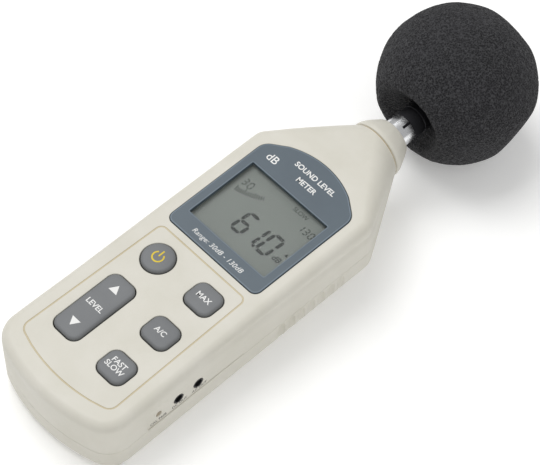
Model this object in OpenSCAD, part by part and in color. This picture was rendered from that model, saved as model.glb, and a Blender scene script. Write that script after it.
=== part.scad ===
// Handheld sound level meter with a half-inch microphone and a foam windscreen.
// Millimetres. The origin is the mouth of the tripod thread on the back face.
// +Y points to the microphone, +Z out of the face, +X to the side with the sockets.

/* [Housing] */
// Full width near the bottom end
housing_w = 67.2; // [66:0.1:70]
// Full width at the shoulders
shoulder_w = 65.2; // [64.5:0.1:68]
// Thickness from back face to front face
housing_t = 32; // [31.8:0.1:33]
// Tripod thread to the bottom end
tail_l = 96.5; // [96:0.5:100]
// How far the bottom end bows out over the width
tail_sag = 7.5; // [6.5:0.5:8]
// Tripod thread to the shoulders, where the neck's taper starts
shoulder_l = 47.4; // [46.5:0.1:50]
// Rounding of the bottom corners and shoulders, seen from the front
corner_r = 12; // [11:0.5:12.5]
// Tripod thread to the end of the neck
neck_l = 81; // [80:0.5:84]
// Radius of the round end of the neck
neck_r = 12.7; // [12.5:0.1:13.5]
// Rounding between the face and the sides
front_edge_r = 4; // [3:0.5:5]
// Rounding between the back and the sides
back_edge_r = 6; // [4:0.5:7]
// Wall thickness of both shells
wall = 2.2; // [2:0.1:2.3]
// Height of the joint line between the shells
seam_z = 13; // [12.5:0.1:13.4]

/* [Display] */
// Width of the display window
window_w = 42.8; // [40:0.1:43.5]
// Length of the display window, from the tripod thread's level upwards
window_l = 34.2; // [32:0.1:34.6]
// Width of the bezel plate
bezel_w = 51; // [49:0.1:52]
// How far the bezel reaches below the window
bezel_below = 8.5; // [7:0.1:9]
// Height of the bezel's arched crest
bezel_top = 54; // [52:0.1:55]
// Radius of the arch at the top of the bezel
bezel_arch_r = 37; // [36:0.5:42]
// How far the bezel stands proud of the face
bezel_proud = 0.3; // [0.1:0.1:0.6]

/* [Keypad] */
// Distance of the two button columns from the centre line
key_x = 13.1; // [12.8:0.1:13.4]
// Distance of the top row below the tripod thread's level
key_row_y = 23.9; // [23.5:0.1:24.5]
// Distance between rows
key_pitch = 22.2; // [21.8:0.1:22.4]
// Width of a button
key_w = 13.6; // [12.5:0.1:14]
// Length of a square button
key_l = 12.3; // [11.5:0.1:13]
// Length of the level rocker
rocker_l = 33.6; // [32:0.1:34]
// Diameter of the power button
power_d = 13.8; // [13:0.1:14.2]
// Corner radius of a button
key_corner_r = 3.8; // [3:0.1:4.5]
// How far the buttons stand out of the face
key_rise = 1.4; // [1:0.1:1.8]
// Gap round each button
key_gap = 0.45; // [0.4:0.05:0.5]

/* [Sockets] */
// Distance of the upper output socket below the tripod thread's level
jack_y = 45; // [44:0.5:46]
// Distance between the two sockets, and from the lower one to the trimmer
jack_pitch = 10.1; // [9.6:0.1:10.4]
// Height of the sockets above the back face
jack_z = 18; // [17.8:0.1:18.3]
// Bore radius of a socket
jack_bore_r = 1.78; // [1.26:0.01:1.8]
// Depth of a socket's bore
jack_depth = 14; // [12:0.5:14.5]

/* [Microphone] */
// Height of the microphone's axis above the back face
mic_z = 17; // [16.8:0.1:17.4]
// Outer radius of the half-inch microphone sleeve
mic_r = 6.35; // [6.3:0.01:6.4]
// Tripod thread to the front edge of the bright sleeve
sleeve_l = 98.6; // [97:0.1:100]
// Tripod thread to the tip of the microphone
mic_tip_l = 113; // [110:0.5:114]

/* [Windscreen] */
// Radius of the foam ball
ball_r = 34; // [30:0.5:35]
// Tripod thread to the centre of the foam ball
ball_l = 129.6; // [129:0.1:131]

/* [Battery] */
// Width of the battery cover
cover_w = 36; // [35:0.5:37]
// Tripod thread to the upper edge of the cover
cover_top = 35; // [34:0.5:35.5]

/* [Tripod thread] */
// Radius of the tapped hole's wall, for a quarter-inch 20 thread
tripod_r = 2.6; // [2.5:0.05:2.7]
// Depth of the tapped hole
tripod_depth = 8; // [7:0.5:9]

/* [Hidden] */
$fn = 64;

eps = 0.01;
far = 300;
half_w = housing_w / 2;
face_z = housing_t;
inner_face_z = face_z - wall;
tail_arc_r = (half_w ^ 2 + tail_sag ^ 2) / (2 * tail_sag);
// the flat of the face ends here, part of the way up the taper
flat_l = 62;
flat_half_w = neck_r + (shoulder_w / 2 - neck_r) * (neck_l - flat_l) / (neck_l - shoulder_l);

bezel_t = 1.5;
bezel_floor_z = face_z + bezel_proud - bezel_t;
lens_t = 0.95;
lcd_t = 2.8;
lcd_top_z = inner_face_z - 0.3;
lcd_size = [46, 40];
board_top_z = 24;
board_t = 1.6;
board_floor_z = board_top_z - board_t;

key_top_z = face_z + key_rise;
flange_top_z = inner_face_z - 0.4;
flange_t = 1.2;
flange_w = 1.1;
mat_floor_z = board_top_z + 0.5;
mat_t = 1;
stem_floor_z = mat_floor_z + mat_t + 0.9;
rocker_y = -key_row_y - 1.5 * key_pitch + 0.7;
rocker_dome_y = 12;
dome_sites = [[-key_x, -key_row_y], [key_x, -key_row_y], [key_x, -key_row_y - key_pitch],
    [key_x, -key_row_y - 2 * key_pitch], [-key_x, rocker_y + rocker_dome_y],
    [-key_x, rocker_y - rocker_dome_y]];

panel_x = 32.8;
panel_y = [-72, -20.5];
panel_z = [seam_z, 24];
trimmer_hole_r = 1.4;
jack_nose_r = 2.4;
trimmer_y = -jack_y - 2 * jack_pitch;
trimmer_z = jack_z + 0.5;
rotor_r = 1.9;
rotor_x = [29.4, 30.9];

board_half_w = 24.6;
case_screw_sites = [[-28, -84], [28, -84], [-27.6, 41], [27.6, 41]];
board_screw_sites = [[-21.5, -83.5], [21.5, -83.5], [-21.5, 42.2], [21.5, 42.2]];

// screws: bosses, pilot holes and wells
case_boss_r = 2.4;
case_pilot_r = 1.25;
case_post_r = 3.6;
case_hole_r = 1.5;
screw_well_r = 2.8;
screw_well_depth = 5;
board_boss_r = 2.2;
board_pilot_r = 0.9;

// the field engraved round the keypad
field_y = [-87.3, -11.7];
field_half_w = [26.2, 24.5];
groove_w = 0.6;
groove_depth = 0.3;

// the tripod insert and the boss that holds it
insert_r = 4.45;
insert_boss_r = 7;

spigot_r = 10;
spigot_bore_r = 8;
spigot_l = 6;

cover_t = 2.3;
cover_clear = 0.25;
tongue_half_w = 9;
tongue_t = 0.75;
battery_size = [26.5, 48.5, 17.5];
battery_low = [-battery_size.x / 2, -90.5, 3.3];
bay_half_w = 14;
bay_wall = 1.4;
bay_top_z = 21.5;
bay_y = [-91, -36.5];

beige = [0.84, 0.82, 0.75];
slate = [0.40, 0.45, 0.50];
key_grey = [0.49, 0.49, 0.51];
board_green = [0.10, 0.35, 0.20];

// ---- shared shapes -------------------------------------------------------

// A box given by its lowest and highest corners.
module span(low, high) {
    translate(low) cube(high - low);
}

// A cylinder along X, from x0 to x1.
module rod_x(x0, x1, y, z, r) {
    translate([x0, y, z]) rotate([0, 90, 0]) cylinder(h = x1 - x0, r = r);
}

// A cylinder or cone along the microphone's axis, from y0 to y1.
module mic_rod(y0, y1, r0, r1) {
    translate([0, y0, mic_z]) rotate([-90, 0, 0]) cylinder(h = y1 - y0, r1 = r0, r2 = r1);
}

// A rounded rectangle about the origin.
module round_rect(w, l, r) {
    offset(r = r) square([w - 2 * r, l - 2 * r], center = true);
}

// A lead that runs along Y from y0, bends and rises to z1 at y1.
module bent_lead(x, y0, y1, z0, z1, r) {
    bend_r = 2.5;
    way = sign(y1 - y0);
    turn_y = y1 - way * bend_r;
    translate([x, y0, z0]) rotate([-90 * way, 0, 0]) cylinder(h = abs(turn_y - y0), r = r);
    translate([x, turn_y, z0 + bend_r]) rotate([0, 90, 0]) rotate([0, 0, way > 0 ? 0 : -90])
        rotate_extrude(angle = 90) translate([bend_r, 0]) circle(r = r);
    translate([x, y1, z0 + bend_r]) cylinder(h = z1 - z0 - bend_r, r = r);
}

// ---- housing -------------------------------------------------------------

// Outline of the housing up to the end of its flat face, drawn in by inset.
module housing_plan(inset) {
    offset(delta = -inset) offset(r = corner_r, $fn = 32) offset(delta = -corner_r) intersection() {
        polygon([[-half_w, -tail_l - 5], [half_w, -tail_l - 5], [shoulder_w / 2, shoulder_l],
            [flat_half_w, flat_l], [-flat_half_w, flat_l], [-shoulder_w / 2, shoulder_l]]);
        translate([0, tail_arc_r - tail_l]) circle(r = tail_arc_r, $fn = 180);
    }
}

// The outer form of one half of the housing, from the joint line to the face or the back.
// Its side is one prism and its rounded edge a few thin slices, and a is the angle round the
// edge from the side.
module half_form(edge_r, outer_z) {
    slice = 0.3;
    way = sign(outer_z - seam_z);
    side_z = outer_z - way * edge_r;
    hull() {
        translate([0, 0, min(seam_z, side_z)]) linear_extrude(abs(side_z - seam_z)) housing_plan(0);
        for (a = [30:30:90])
            translate([0, 0, outer_z - way * edge_r * (1 - sin(a)) - (way > 0 ? slice : 0)])
                linear_extrude(slice) housing_plan(edge_r * (1 - cos(a)));
        intersection() {
            mic_rod(neck_l - slice, neck_l, neck_r, neck_r, $fn = 48);
            half_space(way);
        }
    }
}

// Everything in front of the joint line (way 1) or behind it (way -1).
module half_space(way) {
    translate([0, 0, seam_z + way * 50]) cube([200, 400, 100], center = true);
}

// One half of the housing as a hollow shell: the form, half of the ring in front of the neck
// that carries the nose collar, less a tray under the face and a cone and bore through the neck.
module half_shell(edge_r, outer_z) {
    difference() {
        union() {
            half_form(edge_r, outer_z);
            intersection() {
                mic_rod(neck_l - 1, neck_l + spigot_l, spigot_r, spigot_r);
                half_space(sign(outer_z - seam_z));
            }
        }
        translate([0, 0, wall]) linear_extrude(housing_t - 2 * wall) housing_plan(wall);
        mic_rod(flat_l - 4, neck_l - wall, neck_r, neck_r - wall);
        mic_rod(neck_l - 2 * wall, neck_l + spigot_l + 1, spigot_bore_r, spigot_bore_r);
    }
}

module bezel_plan(grow) {
    offset(delta = grow) offset(r = 3) offset(delta = -3) intersection() {
        translate([-bezel_w / 2, -bezel_below]) square([bezel_w, bezel_top + bezel_below]);
        translate([0, bezel_top - bezel_arch_r]) circle(r = bezel_arch_r, $fn = 120);
    }
}

module window_plan(grow) {
    translate([-window_w / 2 - grow, -grow]) square([window_w + 2 * grow, window_l + 2 * grow]);
}

// Outline of the field engraved round the keypad.
module keypad_plan(grow) {
    low = [field_half_w[0], field_y[0] - 1];
    high = [field_half_w[1], field_y[1]];
    offset(r = 4.5 + grow) offset(delta = -4.5) intersection() {
        polygon([[-low.x, low.y], low, high, [-high.x, high.y]]);
        translate([0, tail_arc_r + field_y[0]]) circle(r = tail_arc_r, $fn = 180);
    }
}

// A button's outline at the origin, grown by grow: "power", "square" or "rocker".
module key_plan(kind, grow) {
    if (kind == "power") circle(d = power_d + 2 * grow);
    if (kind == "square") round_rect(key_w + 2 * grow, key_l + 2 * grow, key_corner_r + grow);
    if (kind == "rocker") round_rect(key_w + 2 * grow, rocker_l + 2 * grow, key_corner_r + grow);
}

module key_holes() {
    translate([-key_x, -key_row_y]) key_plan("power", key_gap);
    translate([-key_x, rocker_y]) key_plan("rocker", key_gap);
    for (row = [0:2]) translate([key_x, -key_row_y - row * key_pitch]) key_plan("square", key_gap);
}

module front_posts() {
    for (site = case_screw_sites) translate([site.x, site.y, seam_z]) difference() {
        cylinder(h = inner_face_z + eps - seam_z, r = case_boss_r);
        translate([0, 0, -1]) cylinder(h = 11, r = case_pilot_r);
    }
    for (site = board_screw_sites) translate([site.x, site.y, board_top_z]) difference() {
        cylinder(h = inner_face_z + eps - board_top_z, r = board_boss_r);
        translate([0, 0, -1]) cylinder(h = 5, r = board_pilot_r);
    }
}

module front_shell() {
    color(beige) {
        difference() {
            half_shell(front_edge_r, face_z);
            translate([0, 0, bezel_floor_z]) linear_extrude(far) bezel_plan(0.15);
            translate([0, 0, seam_z]) linear_extrude(far) window_plan(1.2);
            translate([0, 0, seam_z]) linear_extrude(far) key_holes();
            translate([0, 0, face_z - groove_depth]) linear_extrude(1) difference() {
                keypad_plan(0);
                keypad_plan(-groove_w);
            }
            span([panel_x, panel_y[0], panel_z[0]], [far, panel_y[1], panel_z[1]]);
            for (i = [0, 1]) rod_x(panel_x - 5, far, -jack_y - i * jack_pitch, jack_z, jack_nose_r + 0.1);
            rod_x(panel_x - 5, far, trimmer_y, trimmer_z, trimmer_hole_r);
        }
        front_posts();
    }
}

// The bay that holds the battery, closed above, with the ledge that the cover lies against.
module battery_bay() {
    difference() {
        union() {
            span([-bay_half_w - bay_wall, bay_y[0] - bay_wall, wall],
                [bay_half_w + bay_wall, bay_y[1] + bay_wall, bay_top_z + 0.8]);
            span([-cover_w / 2 - 3, bay_y[0], wall - eps],
                [cover_w / 2 + 3, -cover_top + 5, 4.4]);
        }
        span([-bay_half_w, bay_y[0], -1], [bay_half_w, bay_y[1], bay_top_z]);
        span([-5, bay_y[1] - 1, 14], [5, bay_y[1] + bay_wall + 1, 19]);
        span([-tongue_half_w - 0.5, bay_y[1] - 1, 0],
            [tongue_half_w + 0.5, -cover_top + 4.5, cover_t + tongue_t + 0.3]);
    }
}

// The space of the cover and of its way out, through the rounded bottom end.
module cover_slot() {
    half = cover_w / 2 + cover_clear;
    span([-half, -far, -1], [half, -cover_top + cover_clear, cover_t + cover_clear]);
}

module back_posts() {
    for (site = case_screw_sites) translate([site.x, site.y, wall - eps])
        cylinder(h = seam_z - wall + eps, r = case_post_r);
    translate([0, 0, wall - eps]) cylinder(h = tripod_depth + 2 - wall, r = insert_boss_r);
}

module grip_grooves() {
    groove_r = 2.2;
    for (side = [-1, 1], i = [0:6])
        translate([side * (shoulder_w / 2 + groove_r - 0.3), -1.4 + 5.4 * i, -1])
            cylinder(h = 10, r = groove_r, $fn = 32);
}

module back_shell() {
    color(beige) difference() {
        union() {
            half_shell(back_edge_r, 0);
            battery_bay();
            back_posts();
        }
        cover_slot();
        span([-bay_half_w, bay_y[0], -1], [bay_half_w, bay_y[1], wall + 1]);
        for (site = case_screw_sites) translate([site.x, site.y, -1]) {
            cylinder(h = far, r = case_hole_r);
            cylinder(h = screw_well_depth + 1, r = screw_well_r);
        }
        translate([0, 0, -1]) cylinder(h = tripod_depth + 1, r = insert_r + 0.05);
        grip_grooves();
    }
}

module battery_cover() {
    half = cover_w / 2;
    color(beige) {
        difference() {
            intersection() {
                half_form(back_edge_r, 0);
                span([-half, -far, 0], [half, -cover_top, cover_t]);
            }
            for (i = [0:5]) span([-9, -50 + 2.4 * i, -1], [9, -48.8 + 2.4 * i, 0.5]);
        }
        span([-tongue_half_w, -cover_top - 4, cover_t - eps],
            [tongue_half_w, -cover_top + 4, cover_t + tongue_t]);
    }
}

module nose_collar() {
    tip_l = 93.6;
    base_l = neck_l + 0.4;
    socket_r = spigot_r + 0.1;
    color(beige) translate([0, 0, mic_z]) rotate([-90, 0, 0]) rotate_extrude() polygon([
        [socket_r, base_l], [12.9, base_l], [12.9, base_l + 1.6], [12.4, base_l + 3.4],
        [11.6, base_l + 5.6], [10.4, base_l + 8.2], [8.9, tip_l - 1], [8.1, tip_l],
        [mic_r + 0.1, tip_l], [mic_r + 0.1, neck_l + spigot_l + 0.6],
        [socket_r, neck_l + spigot_l + 0.6]]);
}

// ---- display -------------------------------------------------------------

module display_bezel() {
    color(slate) translate([0, 0, bezel_floor_z]) linear_extrude(bezel_t) difference() {
        bezel_plan(0);
        window_plan(0);
    }
}

module display_lens() {
    color([0.9, 0.95, 0.95, 0.3]) translate([0, 0, bezel_floor_z - lens_t])
        linear_extrude(lens_t) window_plan(1);
}

module lcd_plan(grow) {
    translate([0, window_l / 2]) square(lcd_size + 2 * [grow, grow], center = true);
}

module lcd_glass() {
    color([0.55, 0.58, 0.54]) translate([0, 0, lcd_top_z - lcd_t]) linear_extrude(lcd_t) lcd_plan(0);
}

module lcd_frame() {
    color([0.15, 0.15, 0.16]) translate([0, 0, board_top_z])
        linear_extrude(lcd_top_z - board_top_z) difference() {
            lcd_plan(1.6);
            lcd_plan(0.15);
        }
}

module zebra_strips() {
    color([0.3, 0.1, 0.1]) for (side = [-1, 1])
        translate([0, window_l / 2 + side * 18.6, board_top_z])
            linear_extrude(lcd_top_z - lcd_t - board_top_z) square([44, 1.8], center = true);
}

// ---- electronics ---------------------------------------------------------

module main_board() {
    color(board_green) difference() {
        span([-board_half_w, -87, board_floor_z], [board_half_w, 46, board_top_z]);
        for (site = board_screw_sites) translate([site.x, site.y, 0]) cylinder(h = far, r = 1.2);
    }
}

module board_chips() {
    // each chip: centre x, centre y, width, length, height below the board
    chips = [[4, -12, 14, 14, 1.7], [-14, -14, 8, 10, 1.6], [-15, 8, 5, 6, 1.5], [16, 6, 6, 5, 1.5],
        [-6, 18, 9, 6, 1.5], [14, 26, 10, 4, 3.2], [-16, 30, 4, 8, 1.4]];
    color([0.1, 0.1, 0.1]) {
        for (c = chips)
            span([c[0] - c[2] / 2, c[1] - c[3] / 2, board_floor_z - c[4]],
                [c[0] + c[2] / 2, c[1] + c[3] / 2, board_floor_z]);
        for (x = [-20, -12]) translate([x, -28, board_floor_z - 7]) cylinder(h = 7, r = 2.5);
    }
}

module dome_switches() {
    color("silver") for (site = dome_sites) translate([site.x, site.y, board_top_z]) {
        cylinder(h = 0.15, r = 4);
        cylinder(h = 0.4, r = 2.6);
    }
}

module keypad_mat() {
    low = [-22.5, -79];
    high = [22.5, -14];
    rim = 1.5;
    color([0.45, 0.45, 0.47]) difference() {
        span([low.x, low.y, board_top_z], [high.x, high.y, mat_floor_z + mat_t]);
        span([low.x + rim, low.y + rim, board_top_z - 1], [high.x - rim, high.y - rim, mat_floor_z]);
    }
}

// A push button: its cap, the flange that keeps it in the shell, and its plunger.
module push_button(kind, x, y) {
    color(key_grey) translate([x, y, 0]) {
        translate([0, 0, flange_top_z - eps]) linear_extrude(key_top_z - flange_top_z + eps)
            key_plan(kind, 0);
        translate([0, 0, flange_top_z - flange_t]) linear_extrude(flange_t) key_plan(kind, flange_w);
        translate([0, 0, stem_floor_z]) cylinder(h = flange_top_z - flange_t - stem_floor_z + eps, r = 3);
    }
}

module power_button() {
    push_button("power", -key_x, -key_row_y);
}

module max_button() {
    push_button("square", key_x, -key_row_y);
}

module ac_button() {
    push_button("square", key_x, -key_row_y - key_pitch);
}

module fast_slow_button() {
    push_button("square", key_x, -key_row_y - 2 * key_pitch);
}

// The level rocker: keeper tabs beside its middle, a fulcrum rib and a plunger at each end.
module level_button() {
    floor_z = flange_top_z - flange_t;
    color(key_grey) translate([-key_x, rocker_y, 0]) {
        translate([0, 0, floor_z]) linear_extrude(key_top_z - floor_z) key_plan("rocker", 0);
        span([-key_w / 2 - flange_w, -4, floor_z], [key_w / 2 + flange_w, 4, flange_top_z]);
        for (side = [-1, 1]) translate([0, side * rocker_dome_y, stem_floor_z])
            cylinder(h = floor_z - stem_floor_z + eps, r = 3);
        span([-4, -0.7, mat_floor_z + mat_t + 0.1], [4, 0.7, floor_z + eps]);
    }
}

// An output socket: a body under the board and a round nose through the shell.
module output_jack(y) {
    body_x = [17.5, panel_x - wall - 1];
    color([0.06, 0.06, 0.06]) difference() {
        union() {
            span([body_x[0], y - 3.6, jack_z - 3.2], [body_x[1], y + 3.6, board_floor_z]);
            rod_x(body_x[1] - 1, panel_x, y, jack_z, jack_nose_r);
        }
        rod_x(panel_x - jack_depth, far, y, jack_z, jack_bore_r);
    }
}

module ac_output_jack() {
    output_jack(-jack_y);
}

module dc_output_jack() {
    output_jack(-jack_y - jack_pitch);
}

module trimmer_body() {
    color([0.1, 0.25, 0.55]) difference() {
        span([23, trimmer_y - 3.4, trimmer_z - 3.4], [rotor_x[1] - 0.4, trimmer_y + 3.4, board_floor_z]);
        rod_x(rotor_x[0] - 0.15, far, trimmer_y, trimmer_z, rotor_r + 0.06);
    }
}

module trimmer_rotor() {
    color([0.8, 0.7, 0.45]) difference() {
        rod_x(rotor_x[0], rotor_x[1], trimmer_y, trimmer_z, rotor_r);
        span([rotor_x[1] - 0.5, trimmer_y - 1.6, trimmer_z - 0.25],
            [rotor_x[1] + 1, trimmer_y + 1.6, trimmer_z + 0.25]);
    }
}

// ---- microphone ----------------------------------------------------------

module mic_sleeve() {
    slot_turn = 26;
    color("silver") difference() {
        mic_rod(75, sleeve_l, mic_r, mic_r);
        mic_rod(74, sleeve_l + 1, mic_r - 0.75, mic_r - 0.75);
        translate([0, 0, mic_z]) rotate([0, slot_turn, 0])
            span([-0.55, sleeve_l - 4, 0], [0.55, sleeve_l + 1, mic_r + 1]);
    }
}

module mic_grid() {
    color([0.08, 0.08, 0.1]) difference() {
        union() {
            mic_rod(sleeve_l + 0.05, mic_tip_l, mic_r - 0.15, mic_r - 0.15);
            mic_rod(sleeve_l - 3, sleeve_l + 1, mic_r - 0.85, mic_r - 0.85);
        }
        mic_rod(sleeve_l - 4, mic_tip_l - 1, 5, 5);
        for (x = [-3.2:1.6:3.2])
            span([x - 0.35, mic_tip_l - 2, mic_z - 3], [x + 0.35, mic_tip_l + 1, mic_z + 3]);
    }
}

module mic_capsule() {
    color([0.7, 0.7, 0.72]) mic_rod(104, 110.5, 4.85, 4.85);
}

module mic_board() {
    color(board_green) span([-4, 56, mic_z - 0.6], [4, 82, mic_z + 0.6]);
}

module mic_bush() {
    color([0.12, 0.12, 0.12]) difference() {
        mic_rod(76, neck_l + spigot_l, spigot_bore_r - 0.05, spigot_bore_r - 0.05);
        mic_rod(75, neck_l + spigot_l + 1, mic_r + 0.05, mic_r + 0.05);
    }
}

module mic_lead() {
    color([0.1, 0.1, 0.1]) bent_lead(0, 56, 45, mic_z, board_floor_z, 0.8);
}

module windscreen() {
    bore_r = mic_r + 0.25;
    color([0.22, 0.22, 0.23]) translate([0, ball_l, mic_z]) rotate([-90, 0, 0]) rotate_extrude($fn = 96)
        difference() {
            intersection() {
                circle(r = ball_r, $fn = 128);
                translate([0, -ball_r]) square([ball_r, 2 * ball_r]);
            }
            translate([-1, -ball_r - 1]) square([bore_r + 1, mic_tip_l + 5 - ball_l + ball_r + 1]);
            polygon([[0, -ball_r - 1], [15.4, -ball_r - 1], [9.5, -ball_r + 6.5],
                [bore_r - eps, -ball_r + 12], [0, -ball_r + 12]]);
        }
}

// ---- battery and fasteners -------------------------------------------------

module tripod_insert() {
    color([0.78, 0.62, 0.3]) difference() {
        cylinder(h = tripod_depth - 0.05, r = insert_r);
        translate([0, 0, -1]) cylinder(h = far, r = tripod_r);
    }
}

module battery() {
    top = battery_low + battery_size;
    color([0.15, 0.15, 0.17]) {
        span(battery_low, top);
        for (x = [-6.4, 6.4]) translate([x, top.y - eps, (battery_low.z + top.z) / 2])
            rotate([-90, 0, 0]) cylinder(h = 2.4, r = 2.9);
    }
}

module battery_pad() {
    low_z = battery_low.z + battery_size.z;
    color([0.2, 0.2, 0.2]) span([-8, -82, low_z], [8, -52, bay_top_z]);
}

module battery_snap() {
    y0 = battery_low.y + battery_size.y + 2.4;
    z = battery_low.z + battery_size.z / 2;
    color([0.1, 0.1, 0.1]) span([-12, y0, z - 6], [12, y0 + 2, z + 6]);
}

module battery_leads() {
    y0 = battery_low.y + battery_size.y + 4.4;
    color([0.7, 0.1, 0.1]) for (x = [-2.5, 2.5]) bent_lead(x, y0, -26, 16.5, board_floor_z, 0.65);
}

// A pan-head screw pointing up, its head's underside at the origin.
module screw(head_r, head_h, shank_r, shank_l) {
    translate([0, 0, -head_h]) difference() {
        cylinder(h = head_h, r = head_r);
        for (turn = [0, 90]) rotate(turn)
            span([-head_r * 0.6, -0.3, -1], [head_r * 0.6, 0.3, head_h / 2]);
    }
    cylinder(h = shank_l, r = shank_r);
}

module case_screws() {
    color("silver") for (site = case_screw_sites)
        translate([site.x, site.y, screw_well_depth]) screw(2.6, 1.8, 1.2, 17);
}

module board_screws() {
    color("silver") for (site = board_screw_sites)
        translate([site.x, site.y, board_floor_z]) screw(2, 1.3, 0.85, 5);
}

front_shell();
back_shell();
battery_cover();
nose_collar();
display_bezel();
display_lens();
lcd_glass();
lcd_frame();
zebra_strips();
main_board();
board_chips();
dome_switches();
keypad_mat();
power_button();
max_button();
ac_button();
fast_slow_button();
level_button();
ac_output_jack();
dc_output_jack();
trimmer_body();
trimmer_rotor();
mic_sleeve();
mic_grid();
mic_capsule();
mic_board();
mic_bush();
mic_lead();
windscreen();
tripod_insert();
battery();
battery_pad();
battery_snap();
battery_leads();
case_screws();
board_screws();
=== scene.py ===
"""Visual model of a handheld sound level meter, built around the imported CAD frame.

Every mesh is built in millimetres, in the frame's own axes, and scaled to metres at the end:
+Y points to the microphone, +Z out of the face, +X to the side with the sockets.
"""
import math

import bmesh
import bpy
from mathutils import Matrix, Vector, noise


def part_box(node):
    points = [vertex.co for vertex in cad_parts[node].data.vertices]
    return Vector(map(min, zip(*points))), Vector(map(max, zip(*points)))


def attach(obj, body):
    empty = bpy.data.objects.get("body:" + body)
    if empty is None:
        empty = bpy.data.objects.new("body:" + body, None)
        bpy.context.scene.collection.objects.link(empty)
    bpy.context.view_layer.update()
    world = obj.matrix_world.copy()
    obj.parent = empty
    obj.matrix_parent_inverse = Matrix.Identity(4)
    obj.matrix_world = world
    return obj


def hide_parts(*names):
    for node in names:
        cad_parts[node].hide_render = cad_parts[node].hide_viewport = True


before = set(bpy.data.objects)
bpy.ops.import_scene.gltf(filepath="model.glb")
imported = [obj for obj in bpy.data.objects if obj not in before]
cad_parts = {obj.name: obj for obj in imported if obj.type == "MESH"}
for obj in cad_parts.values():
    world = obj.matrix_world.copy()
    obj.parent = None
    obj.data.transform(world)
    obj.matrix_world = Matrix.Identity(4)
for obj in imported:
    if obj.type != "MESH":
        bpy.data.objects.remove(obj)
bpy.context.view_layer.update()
MM = 0.001


def corners(node):
    """Lowest and highest corner of a CAD node, in millimetres."""
    low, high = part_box(node)
    return Vector(low) / MM, Vector(high) / MM


def middle(node):
    """Centre of a CAD node, in millimetres."""
    low, high = corners(node)
    return (low + high) / 2


# ---- sizes taken from the frame, in millimetres -----------------------------

SHELL_LOW, SHELL_HIGH = corners("front_shell")
HALF_W = SHELL_HIGH.x
TAIL_Y = SHELL_LOW.y
SEAM_Z = SHELL_LOW.z
FACE_Z = SHELL_HIGH.z
NECK_Y = corners("nose_collar")[0].y - 0.4
MIC = Vector((0, 0, middle("mic_sleeve").z))
COLLAR_TIP_Y = corners("nose_collar")[1].y
SLEEVE_R = corners("mic_sleeve")[1].x
SLEEVE_Y = corners("mic_sleeve")[1].y
MIC_TIP_Y = corners("mic_grid")[1].y
BALL_R = corners("windscreen")[1].x
BALL_Y = middle("windscreen").y
JACK_X = corners("ac_output_jack")[1].x
BEZEL_LOW, BEZEL_HIGH = corners("display_bezel")
LCD_Z = corners("lcd_glass")[1].z
COVER_LOW, COVER_HIGH = corners("battery_cover")

# the housing's outline and its rounded edges
SHOULDER_HALF_W = HALF_W - 1
SHOULDER_Y = 47.4
TAIL_SAG = 7.5
CORNER_R = 12
SHOULDER_R = 9
NECK_R = 12.7
FRONT_R = 4
BACK_R = 6
WALL = 2.2
TAPER = math.atan2(SHOULDER_HALF_W - NECK_R, NECK_Y - SHOULDER_Y)
FACE_END = 0.26  # share of the taper over which the face stays flat
BACK_END = 0.1  # the same for the back

# the window in the bezel
WINDOW = (42.8, 34.2)


# ---- mesh tools -------------------------------------------------------------

def piece(name, verts, faces, body, slot, replaces=(), smooth=35):
    """A mesh object made from millimetre points, riding on a body. Its slot argument is not used."""
    mesh = bpy.data.meshes.new(name)
    mesh.from_pydata([Vector(v) * MM for v in verts], [], faces)
    obj = bpy.data.objects.new(name, mesh)
    bpy.context.scene.collection.objects.link(obj)
    tidy(obj, smooth)
    if body:
        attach(obj, body)
    if replaces:
        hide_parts(*replaces)
    return obj


def tidy(obj, smooth=35):
    """Joins doubled points, points the faces outwards and shades smooth up to an angle."""
    bm = bmesh.new()
    bm.from_mesh(obj.data)
    bmesh.ops.remove_doubles(bm, verts=bm.verts, dist=1e-7)
    bmesh.ops.dissolve_degenerate(bm, dist=1e-7, edges=bm.edges)
    bmesh.ops.recalc_face_normals(bm, faces=bm.faces)
    bm.to_mesh(obj.data)
    bm.free()
    obj.data.shade_smooth()
    obj.data.set_sharp_from_angle(angle=math.radians(smooth))


def apply_modifiers(obj):
    """Turns a piece's modifiers into its mesh."""
    graph = bpy.context.evaluated_depsgraph_get()
    mesh = bpy.data.meshes.new_from_object(obj.evaluated_get(graph))
    obj.modifiers.clear()
    old, obj.data = obj.data, mesh
    bpy.data.meshes.remove(old)


def cut(obj, *cutters, operation="DIFFERENCE"):
    """Cuts the cutters out of the piece, or joins them to it, and deletes them."""
    for tool in cutters:
        mod = obj.modifiers.new("cut", "BOOLEAN")
        mod.operation, mod.object, mod.solver = operation, tool, "EXACT"
        mod.material_mode = "TRANSFER"
        apply_modifiers(obj)
        bpy.data.objects.remove(tool)
    return obj


def finish_shading(obj, smooth=35):
    """Shades a cut piece smooth, with the large flat faces deciding the normals."""
    tidy(obj, smooth)
    mod = obj.modifiers.new("normals", "WEIGHTED_NORMAL")
    mod.keep_sharp = True
    apply_modifiers(obj)


def loft_faces(rings, count, closed_ends=True, start=0):
    """Faces that join rings of count points each, and close the two ends."""
    faces = []
    for ring in range(rings - 1):
        low, high = start + ring * count, start + (ring + 1) * count
        for i in range(count):
            j = (i + 1) % count
            faces.append((low + i, low + j, high + j, high + i))
    if closed_ends:
        faces.append(tuple(start + i for i in reversed(range(count))))
        faces.append(tuple(start + (rings - 1) * count + i for i in range(count)))
    return faces


def lofted(sections):
    """Points and faces of a closed solid through sections with equal point counts."""
    verts = [p for section in sections for p in section]
    return verts, loft_faces(len(sections), len(sections[0]))


def ring_lofted(sections):
    """Points and faces of a closed ring: the last section joins the first."""
    verts = [p for section in sections + sections[:1] for p in section]
    return verts, loft_faces(len(sections) + 1, len(sections[0]), closed_ends=False)


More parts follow.
